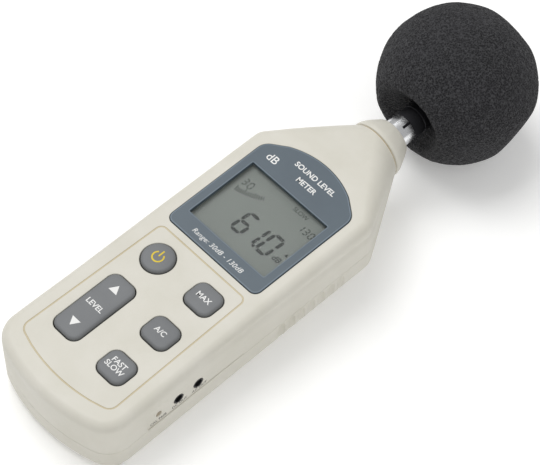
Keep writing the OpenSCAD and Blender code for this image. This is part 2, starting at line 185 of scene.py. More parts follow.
def lathed(profile, steps=96, shape=None):
    """The rings of a solid turned about Z. The profile's points are (radius, height)."""
    sections = []
    for radius, height in profile:
        ring = []
        for i in range(steps):
            angle = math.tau * i / steps
            r = radius * (shape(angle, height) if shape else 1)
            ring.append(Vector((r * math.cos(angle), r * math.sin(angle), height)))
        sections.append(ring)
    return sections


def moved(solid, matrix):
    """The same points and faces, moved by a matrix."""
    verts, faces = solid
    return [matrix @ Vector(v) for v in verts], faces


def joined(*solids):
    """Several solids' points and faces as one list."""
    verts, faces = [], []
    for points, polygons in solids:
        base = len(verts)
        verts += points
        faces += [tuple(base + i for i in polygon) for polygon in polygons]
    return verts, faces


ALONG_Y = Matrix.Translation(MIC) @ Matrix.Rotation(-math.pi / 2, 4, "X")


def along_x(y, z):
    """Turns a solid's Z axis to +X, through the point (0, y, z)."""
    return Matrix.Translation((0, y, z)) @ Matrix.Rotation(math.pi / 2, 4, "Y")


def cutter(solid, material=None):
    """A cutting solid. It rides on nothing and is gone before the end."""
    obj = piece("cutter", *solid, body=None, slot=None)
    if material:
        obj.data.materials.append(material)
    return obj


# ---- outlines ---------------------------------------------------------------

def arc(centre, radius, start, stop, steps):
    """Points on an arc, both ends included, with angles in radians."""
    angles = [start + (stop - start) * i / steps for i in range(steps + 1)]
    return [Vector((centre[0] + radius * math.cos(a), centre[1] + radius * math.sin(a))) for a in angles]


def filleted(points, radii, steps=6):
    """A polygon with some corners rounded. A radius of 0 keeps the corner."""
    out = []
    for i, (point, radius) in enumerate(zip(points, radii)):
        here = Vector(point)
        if radius == 0:
            out.append(here)
            continue
        back = (Vector(points[i - 1]) - here).normalized()
        ahead = (Vector(points[(i + 1) % len(points)]) - here).normalized()
        half = math.acos(max(-1, min(1, back.dot(ahead)))) / 2
        centre = here + (back + ahead).normalized() * radius / math.sin(half)
        start = here + back * radius / math.tan(half) - centre
        stop = here + ahead * radius / math.tan(half) - centre
        sweep = start.angle_signed(stop)
        for k in range(steps + 1):
            out.append(centre + Matrix.Rotation(-sweep * k / steps, 2) @ start)
    return out


def grown(outline, by):
    """An anticlockwise outline moved outwards by a small distance."""
    out = []
    for i, point in enumerate(outline):
        a, b = point - outline[i - 1], outline[(i + 1) % len(outline)] - point
        n1, n2 = Vector((a.y, -a.x)).normalized(), Vector((b.y, -b.x)).normalized()
        n = (n1 + n2).normalized()
        out.append(point + n * by / max(0.5, n.dot(n1)))
    return out


def rounded_rect(width, length, radius, steps=8):
    """A rounded rectangle about the origin."""
    w, l = width / 2, length / 2
    return filleted([(-w, -l), (w, -l), (w, l), (-w, l)], [radius] * 4, steps)


def at(outline, x, y, z):
    """An outline placed in space, in the XY plane at z."""
    return [Vector((p.x + x, p.y + y, z)) for p in outline]


def arched(half, radius, crest_y, steps, upwards):
    """Points on an arch of that half width, whose crest is at crest_y."""
    centre_y = crest_y - radius if upwards else crest_y + radius
    sweep = math.asin(half / radius)
    crest = math.pi / 2 if upwards else -math.pi / 2
    return arc((0, centre_y), radius, crest - sweep, crest + sweep, steps)


def tail_radius():
    """Radius of the housing's bowed bottom end."""
    return (HALF_W ** 2 + TAIL_SAG ** 2) / (2 * TAIL_SAG)


def bezel_outline(grow=0):
    """The bezel: straight sides under an arched crest, with rounded corners."""
    half, radius = BEZEL_HIGH.x, 37
    crest = arched(half, radius, BEZEL_HIGH.y, 32, upwards=True)
    points = [Vector((-half, BEZEL_LOW.y)), Vector((half, BEZEL_LOW.y))] + crest
    radii = [3.2, 3.2, 6] + [0] * (len(crest) - 2) + [6]
    return grown(filleted(thinned(points), thinned(radii)), grow)


def thinned(values):
    """Drops the points next to a crest's two ends, to make room for their rounding."""
    return values[:3] + values[8:-6] + values[-1:]


def window_outline(grow=0):
    """The window, from y = 0 upwards."""
    outline = rounded_rect(WINDOW[0] + 2 * grow, WINDOW[1] + 2 * grow, 0.4 + max(grow, 0), 4)
    return [p + Vector((0, WINDOW[1] / 2)) for p in outline]


def keypad_outline(grow=0):
    """The field engraved round the keys: a trapezoid with a bowed bottom."""
    top_y, crest_y, radius = -11.7, -87.3, tail_radius()
    bottom = arched(26.2, radius, crest_y, 24, upwards=False)
    points = bottom + [Vector((24.5, top_y)), Vector((-24.5, top_y))]
    radii = [4.5] + [0] * (len(bottom) - 2) + [4.5, 3, 3]
    points = points[:1] + points[4:-6] + points[-3:]
    radii = radii[:1] + radii[4:-6] + radii[-3:]
    return grown(filleted(points, radii), grow)


# ---- housing form -----------------------------------------------------------

def line_meet(p, d, q, e):
    """Where the line through p along d meets the line through q along e."""
    cross = d.x * e.y - d.y * e.x
    t = ((q - p).x * e.y - (q - p).y * e.x) / cross
    return p + d * t


def half_outline():
    """The right half of the outline from the tail's middle to the neck: (point, normal) pairs."""
    radius = tail_radius()
    tail_centre = Vector((0, TAIL_Y + radius))
    foot, shoulder = Vector((HALF_W, TAIL_Y - 5)), Vector((SHOULDER_HALF_W, SHOULDER_Y))
    side = (shoulder - foot).normalized()
    side_normal = Vector((side.y, -side.x))
    taper = (Vector((NECK_R, NECK_Y)) - shoulder).normalized()
    taper_normal = Vector((taper.y, -taper.x))

    inner = foot - side_normal * CORNER_R
    reach = inner - tail_centre
    b, c = reach.dot(side), reach.length_squared - (radius - CORNER_R) ** 2
    corner = inner + side * (-b - math.sqrt(b * b - c))
    tail_angle = math.atan2(corner.y - tail_centre.y, corner.x - tail_centre.x)
    turn = line_meet(foot - side_normal * SHOULDER_R, side, shoulder - taper_normal * SHOULDER_R, taper)

    pairs = []

    def add_arc(centre, r, start, stop, steps, skip=1):
        for i in range(skip, steps + 1):
            a = start + (stop - start) * i / steps
            n = Vector((math.cos(a), math.sin(a)))
            pairs.append((centre + n * r, n))

    side_angle = math.atan2(side_normal.y, side_normal.x)
    taper_angle = math.atan2(taper_normal.y, taper_normal.x)
    add_arc(tail_centre, radius, -math.pi / 2, tail_angle, 22, skip=0)
    add_arc(corner, CORNER_R, tail_angle, side_angle, 14)
    side_low, side_high = corner + side_normal * CORNER_R, turn + side_normal * SHOULDER_R
    side_steps = 26
    for i in range(1, side_steps):
        pairs.append((side_low.lerp(side_high, i / side_steps), side_normal))
    add_arc(turn, SHOULDER_R, side_angle, taper_angle, 7, skip=0)
    taper_low, taper_steps = turn + taper_normal * SHOULDER_R, 20
    for i in range(1, taper_steps + 1):
        pairs.append((taper_low.lerp(Vector((NECK_R, NECK_Y)), i / taper_steps), taper_normal))
    return pairs


OUTLINE = half_outline()


def smoothstep(low, high, value):
    """0 below low, 1 above high, and smooth between them."""
    t = max(0, min(1, (value - low) / (high - low)))
    return t * t * (3 - 2 * t)


def neck_share(y):
    """0 on the body and 1 at the end of the neck."""
    return max(0, min(1, (y - SHOULDER_Y) / (NECK_Y - SHOULDER_Y)))


def face_height(t):
    """Height of the front surface, which falls to the neck's crown after the flat face."""
    fall = max(0, (t - FACE_END) / (1 - FACE_END))
    return FACE_Z - (FACE_Z - MIC.z - NECK_R) * fall ** 1.6


def back_height(t):
    """Height of the back surface, which rises to the neck's underside."""
    return (MIC.z - NECK_R) * max(0, (t - BACK_END) / (1 - BACK_END)) ** 1.3


def side_inset(z, y):
    """How far the side lies inside the outline at a height: rounded edges and a soft crease."""
    t = neck_share(y)
    front_r = FRONT_R + (NECK_R - FRONT_R) * t
    back_r = BACK_R + (NECK_R - BACK_R) * t
    across_front = FRONT_R + (NECK_R * math.cos(TAPER) - FRONT_R) * t
    across_back = BACK_R + (NECK_R * math.cos(TAPER) - BACK_R) * t
    up = max(0, min(1, (z - face_height(t) + front_r) / front_r))
    down = max(0, min(1, (back_height(t) + back_r - z) / back_r))
    inset = across_front * (1 - math.sqrt(1 - up * up))
    inset += across_back * (1 - math.sqrt(1 - down * down))
    crease_z = 26.3 - 0.059 * y
    depth = 0.65 * smoothstep(-75, -10, y) * (1 - smoothstep(0.1, 0.7, t))
    inset += depth * math.exp(-((z - crease_z) / 1.6) ** 2)
    return inset


def level_share(way):
    """Heights of the rings as shares of the way from the joint line to the face or the back."""
    if way > 0:
        depth, radius, sides = FACE_Z - SEAM_Z, FRONT_R, 15
    else:
        depth, radius, sides = SEAM_Z, BACK_R, 5
    plain = depth - radius
    shares = [0, 0.22 / depth] + [plain * i / sides / depth for i in range(1, sides)]
    shares += [(depth - radius * (1 - math.sin(math.radians(a)))) / depth for a in range(0, 91, 9)]
    return shares


def form(way, shell=0):
    """One half of the housing, as a closed solid. With shell over 0 it is the space inside it."""
    stations = [pair for pair in OUTLINE if pair[0].y <= NECK_Y - 1.5 * shell]
    half, count = len(stations), 2 * len(stations) - 1
    sections = []
    for share in level_share(way):
        ring = []
        for point, normal in stations:
            t = neck_share(point.y)
            end_z = face_height(t) if way > 0 else back_height(t)
            z = SEAM_Z + (end_z - SEAM_Z) * share
            inset = side_inset(z, point.y) + shell
            if share == 0 and not shell:
                inset += 0.2
            if shell:
                z = z - way * shell * share - way * 2 * (share == 0)
            turn = smoothstep(0, 1, t)
            shift = normal * (1 - turn) + Vector((1 / math.cos(TAPER), 0)) * turn
            place = point - shift * inset
            ring.append(Vector((max(place.x, 0), place.y, z)))
        left = [Vector((-p.x, p.y, p.z)) for p in ring[1:]]
        sections.append(left[::-1] + ring)
    verts = [p for section in sections for p in section]
    rings, faces = len(sections), []
    for r in range(rings - 1):
        for i in range(count - 1):
            a = r * count + i
            faces.append((a, a + 1, a + 1 + count, a + count))
    faces.append(tuple(range(count)))
    top = (rings - 1) * count
    flat_end = FACE_END if way > 0 else BACK_END
    flat = [i for i in range(half) if neck_share(stations[i][0].y) <= flat_end]
    last = flat[-1]
    centre = top + half - 1
    faces.append(tuple(centre + i for i in range(-last, last + 1)))
    for i in range(last, half - 1):
        faces.append((centre + i, centre + i + 1, centre - i - 1, centre - i))
    neck = [r * count for r in range(rings)] + [r * count + count - 1 for r in reversed(range(rings))]
    faces.append(tuple(neck))
    return verts, faces


def hole(outline_of, x, y, low_z, rim_z, rim_r=0.35, high_z=None):
    """A cutting solid straight through, with a rounded rim at rim_z."""
    sections = [at(outline_of(0), x, y, low_z)]
    for a in range(0, 91, 18):
        grow = rim_r * (1 - math.cos(math.radians(a)))
        sections.append(at(outline_of(grow), x, y, rim_z - rim_r * (1 - math.sin(math.radians(a)))))
    sections.append(at(outline_of(rim_r + 0.01), x, y, high_z or rim_z + 2))
    return lofted(sections)


# ---- materials --------------------------------------------------------------

class Nodes:
    """A new node material, with short ways to add and join its nodes."""

    def __init__(self, name):
        self.material = bpy.data.materials.new(name)
        self.material.use_nodes = True
        self.tree = self.material.node_tree
        self.shader = self.tree.nodes["Principled BSDF"]
        self.place = self.tree.nodes.new("ShaderNodeTexCoord").outputs["Object"]

    def add(self, kind, **values):
        node = self.tree.nodes.new(kind)
        for key, value in values.items():
            setattr(node, key, value)
        return node

    def link(self, a, b):
        self.tree.links.new(a, b)

    def noise(self, size_mm, detail=3, rough=0.55, stretch=(1, 1, 1)):
        """Noise whose features are about size_mm across."""
        mapping = self.add("ShaderNodeMapping")
        mapping.inputs["Scale"].default_value = [1 / (size_mm * MM * s) for s in stretch]
        self.link(self.place, mapping.inputs["Vector"])
        node = self.add("ShaderNodeTexNoise")
        node.inputs["Scale"].default_value = 1
        node.inputs["Detail"].default_value = detail
        node.inputs["Roughness"].default_value = rough
        self.link(mapping.outputs["Vector"], node.inputs["Vector"])
        return node.outputs["Fac"]

    def spread(self, value, low, high, out_low=0, out_high=1):
        """The value between low and high, spread over a new range."""
        node = self.add("ShaderNodeMapRange")
        range_names = ("From Min", "From Max", "To Min", "To Max")
        for name, number in zip(range_names, (low, high, out_low, out_high)):
            node.inputs[name].default_value = number
        self.link(value, node.inputs["Value"])
        return node.outputs["Result"]

    def mixed(self, factor, a, b, blend="MIX"):
        """A mix of two colours, each a colour or another node's output."""
        node = self.add("ShaderNodeMix", data_type="RGBA", blend_type=blend)
        if isinstance(factor, float):
            node.inputs["Factor"].default_value = factor
        else:
            self.link(factor, node.inputs["Factor"])
        for value, socket in ((a, node.inputs[6]), (b, node.inputs[7])):
            if isinstance(value, tuple):
                socket.default_value = (*value, 1)
            else:
                self.link(value, socket)
        return node.outputs[2]

    def bump(self, height, distance_mm, strength=1.0, under=None):
        """Raises the surface by a height map."""
        node = self.add("ShaderNodeBump")
        node.inputs["Strength"].default_value = strength
        node.inputs["Distance"].default_value = distance_mm * MM
        self.link(height, node.inputs["Height"])
        if under:
            self.link(under, node.inputs["Normal"])
        return node.outputs["Normal"]


def srgb(red, green, blue):
    """A linear colour from 8-bit display values."""
    def linear(v):
        v /= 255
        return v / 12.92 if v <= 0.04045 else ((v + 0.055) / 1.055) ** 2.4
    return linear(red), linear(green), linear(blue)


def grained(name, colour, shade, rough, grain_mm, depth_mm, rough_spread=0.06, **sockets):
    """A moulded or sprayed surface: broad faint mottling, fine grain and uneven gloss."""
    n = Nodes(name)
    broad, fine, speck = n.noise(18, 4), n.noise(grain_mm, 5, 0.65), n.noise(grain_mm * 0.37, 2)
    tone = n.mixed(n.spread(broad, 0.35, 0.7), colour, shade)
    tone = n.mixed(n.spread(speck, 0.3, 0.75, 0, 0.35), tone, shade)
    n.link(tone, n.shader.inputs["Base Color"])
    roughness = n.spread(fine, 0.3, 0.7, rough - rough_spread, rough + rough_spread)
    n.link(roughness, n.shader.inputs["Roughness"])
    under = n.bump(broad, 0.02, 0.25)
    n.link(n.bump(fine, depth_mm, 0.8, under), n.shader.inputs["Normal"])
    for socket, value in sockets.items():
        n.shader.inputs[socket.replace("_", " ")].default_value = value
    return n.material


def turned_metal(name, colour, rough, grain_mm, **sockets):
    """Metal with fine marks round the microphone's axis."""
    n = Nodes(name)
    marks, smudge = n.noise(grain_mm, 3, 0.6, stretch=(12, 1, 12)), n.noise(4, 3)
    n.link(n.mixed(n.spread(smudge, 0.35, 0.75, 0, 0.5), colour, tuple(c * 0.86 for c in colour)),
           n.shader.inputs["Base Color"])
    n.link(n.spread(smudge, 0.3, 0.7, rough * 0.8, rough * 1.35), n.shader.inputs["Roughness"])
    n.link(n.bump(marks, 0.004, 0.6), n.shader.inputs["Normal"])
    n.shader.inputs["Metallic"].default_value = 1
    for socket, value in sockets.items():
        n.shader.inputs[socket.replace("_", " ")].default_value = value
    return n.material


def foam_material():
    """Open-cell foam: near-black cells between paler struts, painted shade in the open pores, with no
    gloss.
    """
    n = Nodes("foam")
    cells = n.add("ShaderNodeTexVoronoi", feature="F1")
    cells.inputs["Scale"].default_value = 1 / (0.75 * MM)
    n.link(n.place, cells.inputs["Vector"])
    fine = n.noise(0.5, 3, 0.7)
    strut_and_pore_shade = n.spread(cells.outputs["Distance"], 0.2, 0.75)
    # painted shade: the cells near-black, the struts paler
    tone = n.mixed(strut_and_pore_shade, srgb(18, 18, 20), srgb(76, 76, 78))
    tone = n.mixed(n.spread(fine, 0.35, 0.7, 0, 0.75), tone, srgb(30, 30, 32))
    tone = n.mixed(n.spread(n.noise(9, 3), 0.35, 0.7, 0, 0.3), tone, srgb(58, 58, 61))
    n.link(tone, n.shader.inputs["Base Color"])
    under = n.bump(strut_and_pore_shade, 0.3, 0.9)
    n.link(n.bump(fine, 0.14, 0.8, under), n.shader.inputs["Normal"])
    n.link(n.spread(fine, 0.3, 0.7, 0.86, 1.0), n.shader.inputs["Roughness"])
    n.shader.inputs["Sheen Weight"].default_value = 0.06
    n.shader.inputs["Sheen Roughness"].default_value = 0.6
    n.shader.inputs["Specular IOR Level"].default_value = 0.1
    return n.material


def display_material():
    """The display cell's front: a matt grey-green polariser with a faint fine speckle."""
    n = Nodes("lcd_face")
    speck, broad = n.noise(0.12, 2), n.noise(30, 2)
    tone = n.mixed(n.spread(broad, 0.35, 0.7), srgb(114, 120, 114), srgb(107, 113, 108))
    speckled = n.mixed(n.spread(speck, 0.3, 0.7, 0, 0.3), tone, srgb(101, 106, 101))
    n.link(speckled, n.shader.inputs["Base Color"])
    n.shader.inputs["Specular IOR Level"].default_value = 0.2
    n.link(n.spread(speck, 0.3, 0.7, 0.38, 0.5), n.shader.inputs["Roughness"])
    n.link(n.bump(speck, 0.003, 0.5), n.shader.inputs["Normal"])
    return n.material


def window_material():
    """The clear window over the display, thin enough to bend no light."""
    n = Nodes("window")
    n.link(n.spread(n.noise(12, 3), 0.3, 0.7, 0.03, 0.09), n.shader.inputs["Roughness"])
    n.link(n.bump(n.noise(8, 2), 0.002, 0.3), n.shader.inputs["Normal"])
    n.shader.inputs["Base Color"].default_value = (*srgb(225, 232, 230), 1)
    n.shader.inputs["Alpha"].default_value = 0.04
    return n.material


def layered(name, colour, other, band_mm, rough):
    """Thin layers side by side, as in a conductive rubber strip."""
    n = Nodes(name)
    wave = n.add("ShaderNodeTexWave", bands_direction="X")
    wave.inputs["Scale"].default_value = 1 / (band_mm * MM)
    wave.inputs["Distortion"].default_value = 0.4
    n.link(n.place, wave.inputs["Vector"])
    n.link(n.mixed(wave.outputs["Fac"], colour, other), n.shader.inputs["Base Color"])
    n.link(n.spread(n.noise(0.6), 0.3, 0.7, rough - 0.05, rough + 0.05), n.shader.inputs["Roughness"])
    return n.material


BEIGE, BEIGE_SHADE = srgb(216, 213, 203), srgb(208, 205, 193)
OCHRE, OCHRE_SHADE = srgb(206, 196, 170), srgb(196, 185, 156)
MATERIALS = {
    "housing": grained("housing", BEIGE, BEIGE_SHADE, 0.5, 0.55, 0.014, Specular_IOR_Level=0.4),
    # the groove's darker ochre is dirt in the engraving together with painted shade
    "groove": grained("groove", OCHRE, OCHRE_SHADE, 0.62, 0.6, 0.01),
    "joint": grained("joint", srgb(196, 170, 112), srgb(180, 154, 98), 0.62, 0.6, 0.01),
    "bezel": grained("bezel", srgb(78, 92, 102), srgb(73, 86, 96), 0.42, 0.3, 0.006, 0.05),
    # painted highlight: a paler slate for the thin lines along the bezel's and the window's edges
    "bezel_edge_highlight": grained("bezel_edge_highlight", srgb(112, 126, 138), srgb(103, 117, 129), 0.4, 0.3, 0.006),
    "keys": grained("keys", srgb(122, 124, 126), srgb(114, 116, 118), 0.56, 0.32, 0.012,
                    Specular_IOR_Level=0.35),
    "white_ink": grained("white_ink", srgb(238, 238, 236), srgb(226, 226, 224), 0.55, 0.25, 0.004),
    "yellow_ink": grained("yellow_ink", srgb(226, 200, 30), srgb(208, 180, 22), 0.5, 0.25, 0.004),
    "dark_ink": grained("dark_ink", srgb(58, 55, 55), srgb(76, 72, 70), 0.6, 0.2, 0.003),
    "segment": grained("segment", srgb(22, 25, 23), srgb(32, 35, 32), 0.5, 0.2, 0.002,
                       Specular_IOR_Level=0.1),
    "faint_segment": grained("faint_segment", srgb(48, 52, 48), srgb(58, 62, 58), 0.5, 0.2, 0.002,
                             Specular_IOR_Level=0.1),
    "jack": grained("jack", srgb(26, 26, 28), srgb(34, 34, 36), 0.42, 0.4, 0.008),
    # painted shade: near-black for the walls of slots, standing in for the shade inside them
    "hole": grained("hole", srgb(8, 8, 8), srgb(14, 14, 14), 0.8, 0.5, 0.01),
    "rotor": grained("rotor", srgb(232, 190, 120), srgb(216, 172, 104), 0.5, 0.4, 0.01),
    "blue": grained("trimmer_case", srgb(32, 74, 158), srgb(26, 62, 138), 0.45, 0.5, 0.008),
    "mask": grained("solder_mask", srgb(24, 92, 52), srgb(18, 78, 44), 0.32, 2.2, 0.03),
    "chips": grained("chips", srgb(34, 34, 36), srgb(44, 44, 46), 0.55, 0.3, 0.01),
    "rubber": grained("soft_rubber", srgb(40, 40, 42), srgb(52, 52, 54), 0.75, 0.8, 0.03),
    "mat": grained("silicone_mat", srgb(118, 120, 124), srgb(106, 108, 112), 0.6, 0.6, 0.02),
    "can": grained("battery_can", srgb(52, 54, 60), srgb(38, 40, 46), 0.35, 1.2, 0.01, Metallic=0.4),
    "pad": grained("foam_rubber", srgb(58, 58, 60), srgb(34, 34, 36), 0.9, 0.9, 0.12),
    "wire": grained("wire", srgb(170, 28, 26), srgb(140, 20, 18), 0.45, 0.9, 0.01),
    "steel": turned_metal("zinc_steel", srgb(196, 198, 200), 0.32, 0.12),
    "chrome": turned_metal("bright_plate", srgb(238, 239, 241), 0.2, 0.1),
    "black_metal": turned_metal("black_anodised", srgb(56, 56, 59), 0.6, 0.1),
    "brass": turned_metal("brass", srgb(206, 172, 96), 0.3, 0.12),
    "foam": foam_material(),
    "display": display_material(),
    "window": window_material(),
    "elastomer": layered("elastomer", srgb(110, 60, 52), srgb(30, 24, 24), 0.4, 0.6),
}


def paint(obj, name):
    """Gives every face of a piece that has no material yet this one."""
    material = MATERIALS[name]
    slots = obj.data.materials
    if len(slots) == 0:
        slots.append(material)
    elif slots[0] is None:
        slots[0] = material
    return obj


def repaint(node, name):
    """Gives a CAD node a new material in its slots."""
    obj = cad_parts[node]
    if not obj.material_slots:
        obj.data.materials.append(MATERIALS[name])
    for place in obj.material_slots:
        place.material = MATERIALS[name]


# ---- housing ----------------------------------------------------------------

def key_outline(node):
    """The outline of a key's cap as a function of how far it is grown, and its centre."""
    low, high = corners(node)
    flange, size = 1.1, high - low
    width, length = size.x - 2 * flange, size.y - 2 * flange
    if node == "level_button":
        length = size.y
    centre = (low + high) / 2
    if node == "power_button":
        return lambda grow=0: arc((0, 0), width / 2 + grow, 0, math.tau * 47 / 48, 47), centre
    return lambda grow=0: rounded_rect(width + 2 * grow, length + 2 * grow, 3.8 + grow), centre


KEYS = {"power_button": "power_key", "max_button": "max_key", "ac_button": "ac_key",
        "fast_slow_button": "fast_slow_key", "level_button": "level_key"}
KEY_GAP = 0.45
PANEL_Y = (-72, -20.5)


def case_front():
    """The front half: face, display and key openings, engraved field and socket panel."""
    obj = piece("case_front", *form(1), body="housing", slot="housing", replaces=["front_shell"])
    paint(obj, "housing")
    cut(obj, cutter(form(1, WALL)))
    bezel = hole(lambda g=0: bezel_outline(0.22 + g), 0, 0, BEZEL_LOW.z, FACE_Z, 0.15)
    window = lofted([at(window_outline(1.2), 0, 0, z) for z in (SEAM_Z, FACE_Z)])
    cut(obj, cutter(bezel, MATERIALS["housing"]), cutter(window, MATERIALS["housing"]))
    for node in KEYS:
        outline, centre = key_outline(node)
        solid = hole(lambda g=0: outline(KEY_GAP + g), centre.x, centre.y, SEAM_Z, FACE_Z)
        cut(obj, cutter(solid, MATERIALS["housing"]))
    # the groove's faces take the darker ochre: dirt in the engraving and painted shade
    groove = [at(keypad_outline(g - 0.35), 0, 0, FACE_Z + z)
              for g, z in ((0.42, 0.06), (0.2, -0.2), (-0.2, -0.2), (-0.42, 0.06))]
    cut(obj, cutter(ring_lofted(groove), MATERIALS["groove"]))
    cut(obj, cutter(panel_recess(), MATERIALS["housing"]))
    for node, radius in (("ac_output_jack", 2.5), ("dc_output_jack", 2.5), ("trimmer_rotor", 1.45)):
        profile = [(radius, 20), (radius, JACK_X - 0.15), (radius + 0.15, JACK_X),
                   (radius + 0.2, JACK_X + 4)]
        z = middle("trimmer_rotor").z if node == "trimmer_rotor" else MIC.z + 1
        sections = lathed(profile, 40)
        cut(obj, cutter(moved(lofted(sections), along_x(middle(node).y, z)), MATERIALS["housing"]))
    finish_shading(obj)
    return obj


def panel_recess():
    """The space in front of the socket panel: flat behind, and fading out towards the face."""
    sections = []
    for z, depth, end in ((13.5, 0, 1.2), (13.8, 0, 0.5), (14.6, 0, 0.1), (15.8, 0, 0), (21, 0, 0),
                          (22.5, 0.12, 0.1), (24, 0.42, 0.5), (25.5, 0.95, 1.4)):
        low, high, x = PANEL_Y[0] + end, PANEL_Y[1] - end, JACK_X + depth
        plan = [(x, low + 0.5), (x, high - 0.5), (x + 0.2, high - 0.15), (x + 5, high), (x + 5, low),
                (x + 0.2, low + 0.15)]
        sections.append([Vector((u, v, z)) for u, v in plan])
    return lofted(sections)


SCREW_SITES = [(-28, -84), (28, -84), (-27.6, 41), (27.6, 41)]
BAY_LOW, BAY_HIGH = Vector((-14, -91, -1)), Vector((14, -36.5, 21.5))
BAY_WALL = 1.4
COVER_GAP = 0.25
TONGUE_HALF_W = 9


def box(low, high):
    """A plain box between two corners, for cutting with."""
    outline = [Vector((low[0], low[1])), Vector((high[0], low[1])), Vector((high[0], high[1])),
               Vector((low[0], high[1]))]
    return lofted([at(outline, 0, 0, z) for z in (low[2], high[2])])


def rounded_box(low, high, corner_r, edge_r):
    """A box with rounded corners in plan and rounded upper and lower edges."""
    low, high = Vector(low), Vector(high)
    size, centre = high - low, (low + high) / 2
    outline = rounded_rect(size.x, size.y, corner_r, 5)
    sections = []
    for a in range(90, -1, -18):
        inset = edge_r * (1 - math.cos(math.radians(a)))
        sections.append(at(grown(outline, -inset), centre.x, centre.y,
                           low.z + edge_r * (1 - math.sin(math.radians(a)))))
    for a in range(0, 91, 18):
        inset = edge_r * (1 - math.cos(math.radians(a)))
        sections.append(at(grown(outline, -inset), centre.x, centre.y,
                           high.z - edge_r * (1 - math.sin(math.radians(a)))))
    return lofted(sections)


def upright(x, y, *profile, steps=48):
    """A turned solid standing at (x, y)."""
    return moved(lofted(lathed(profile, steps)), Matrix.Translation((x, y, 0)))


def case_back():
    """The back half: battery bay, cover slot, screw wells, tripod boss and grip scallops."""
    obj = piece("case_back", *form(-1), body="housing", slot="housing", replaces=["back_shell"])
    paint(obj, "housing")
    same = MATERIALS["housing"]
    cut(obj, cutter(form(-1, WALL)))
    bay = box((BAY_LOW.x - BAY_WALL, BAY_LOW.y - BAY_WALL, WALL - 0.6),
              (BAY_HIGH.x + BAY_WALL, BAY_HIGH.y + BAY_WALL, BAY_HIGH.z + 0.8))
    ledge = box((-COVER_HIGH.x - 3, BAY_LOW.y + 0.02, WALL - 0.5),
                (COVER_HIGH.x + 3, -30, 4.4))
    boss = upright(0, 0, (7, WALL - 0.4), (7, 10))
    cut(obj, cutter(bay, same), cutter(ledge, same), cutter(boss, same), operation="UNION")
    for x, y in SCREW_SITES:
        cut(obj, cutter(upright(x, y, (3.6, WALL - 0.3), (3.6, SEAM_Z)), same), operation="UNION")
    half = COVER_HIGH.x + COVER_GAP
    slot_top = 2.3 + COVER_GAP
    cut(obj, cutter(box((-half, TAIL_Y - 20, -1), (half, -35 + COVER_GAP, slot_top)), same))
    cut(obj, cutter(box(BAY_LOW, BAY_HIGH), same))
    tongue_slot = box((-TONGUE_HALF_W - 0.5, BAY_HIGH.y - 1, 0.5), (TONGUE_HALF_W + 0.5, -30.5, 3.35))
    cut(obj, cutter(tongue_slot, same))
    rim = 0.3
    for x, y in SCREW_SITES:
        cut(obj, cutter(upright(x, y, (2.8 + rim + 0.4, -0.4), (2.8 + rim, 0), (2.8, rim), (2.8, 5),
                                (1.5, 5), (1.5, SEAM_Z + 1)), same))
    cut(obj, cutter(upright(0, 0, (4.5 + rim + 0.4, -0.4), (4.5 + rim, 0), (4.5, rim), (4.5, 8)), same))
    for side in (-1, 1):
        for i in range(7):
            cut(obj, cutter(grip_scallop(side, -1.4 + 5.4 * i), same))
    finish_shading(obj)
    return obj


def grip_scallop(side, y):
    """A rounded upright scoop in the edge between the back and the side."""
    radius, top = 2.4, 9.6
    profile = [(radius, -2), (radius, top)]
    profile += [(radius * math.cos(math.radians(a)), top + radius * 1.3 * math.sin(math.radians(a)))
                for a in (20, 40, 60, 80)]
    return upright(side * (SHOULDER_HALF_W + radius - 1), y, *profile, steps=32)


def battery_door():
    """The sliding cover over the battery bay, with its thumb ribs and tongue."""
    obj = piece("battery_door", *form(-1), body="cover", slot="cover", replaces=["battery_cover"])
    paint(obj, "housing")
    same = MATERIALS["housing"]
    keep = rounded_box((COVER_LOW.x, TAIL_Y - 20, -5), (COVER_HIGH.x, -35, 2.3), 1.2, 0.3)
    cut(obj, cutter(keep, same), operation="INTERSECT")
    for i in range(6):
        rib = rounded_box((-9, -50 + 2.4 * i, -1), (9, -48.8 + 2.4 * i, 0.5), 0.55, 0.4)
        cut(obj, cutter(rib, same))
    tongue = rounded_box((-TONGUE_HALF_W, -39, 2), (TONGUE_HALF_W, -31, 3.05), 1, 0.2)
    cut(obj, cutter(tongue, same), operation="UNION")
    finish_shading(obj)
    return obj


def collar():
    """The nose collar: a cone with faint facets and a rounded lip round the microphone."""
    base, tip, facets = NECK_Y + 0.4, COLLAR_TIP_Y - 2.2, 10
    outside = [(12.45, base), (12.9, base + 0.35), (12.9, base + 1.5), (12.75, base + 2.2),
               (12.4, base + 3.1),
               (11.9, base + 4.3), (11.2, base + 5.7), (10.4, base + 7.1), (9.6, base + 8.4),
               (8.9, tip - 0.6), (8.55, tip - 0.15), (8.2, tip)]
    inside = [(7, tip), (SLEEVE_R + 0.1, tip - 0.5), (SLEEVE_R + 0.1, base + 4), (10, base + 4), (10, base)]

    def facet(angle, height):
        turn = abs((angle * facets / math.tau) % 1 - 0.5) * 2
        share = smoothstep(base + 1.5, base + 6, height) * (1 - smoothstep(tip - 2, tip, height))
        return 1 - 0.022 * (1 - turn * turn) * share if height > base + 1.5 else 1

    sections = lathed(outside, 120, facet) + lathed(inside, 120)
    obj = piece("collar", *moved(ring_lofted(sections), ALONG_Y), body="housing", slot="housing",
                replaces=["nose_collar"], smooth=40)
    return paint(obj, "housing")


def collar_joint():
    """The joint line between the neck and the collar, a little below both."""
    profile = [(10.1, NECK_Y + 0.02), (12.3, NECK_Y + 0.02), (12.3, NECK_Y + 0.42), (10.1, NECK_Y + 0.42)]
    obj = piece("collar_joint", *moved(ring_lofted(lathed(profile, 96)), ALONG_Y), body="housing",
                slot="housing")
    return paint(obj, "joint")


# ---- display ------------------------------------------------------------------

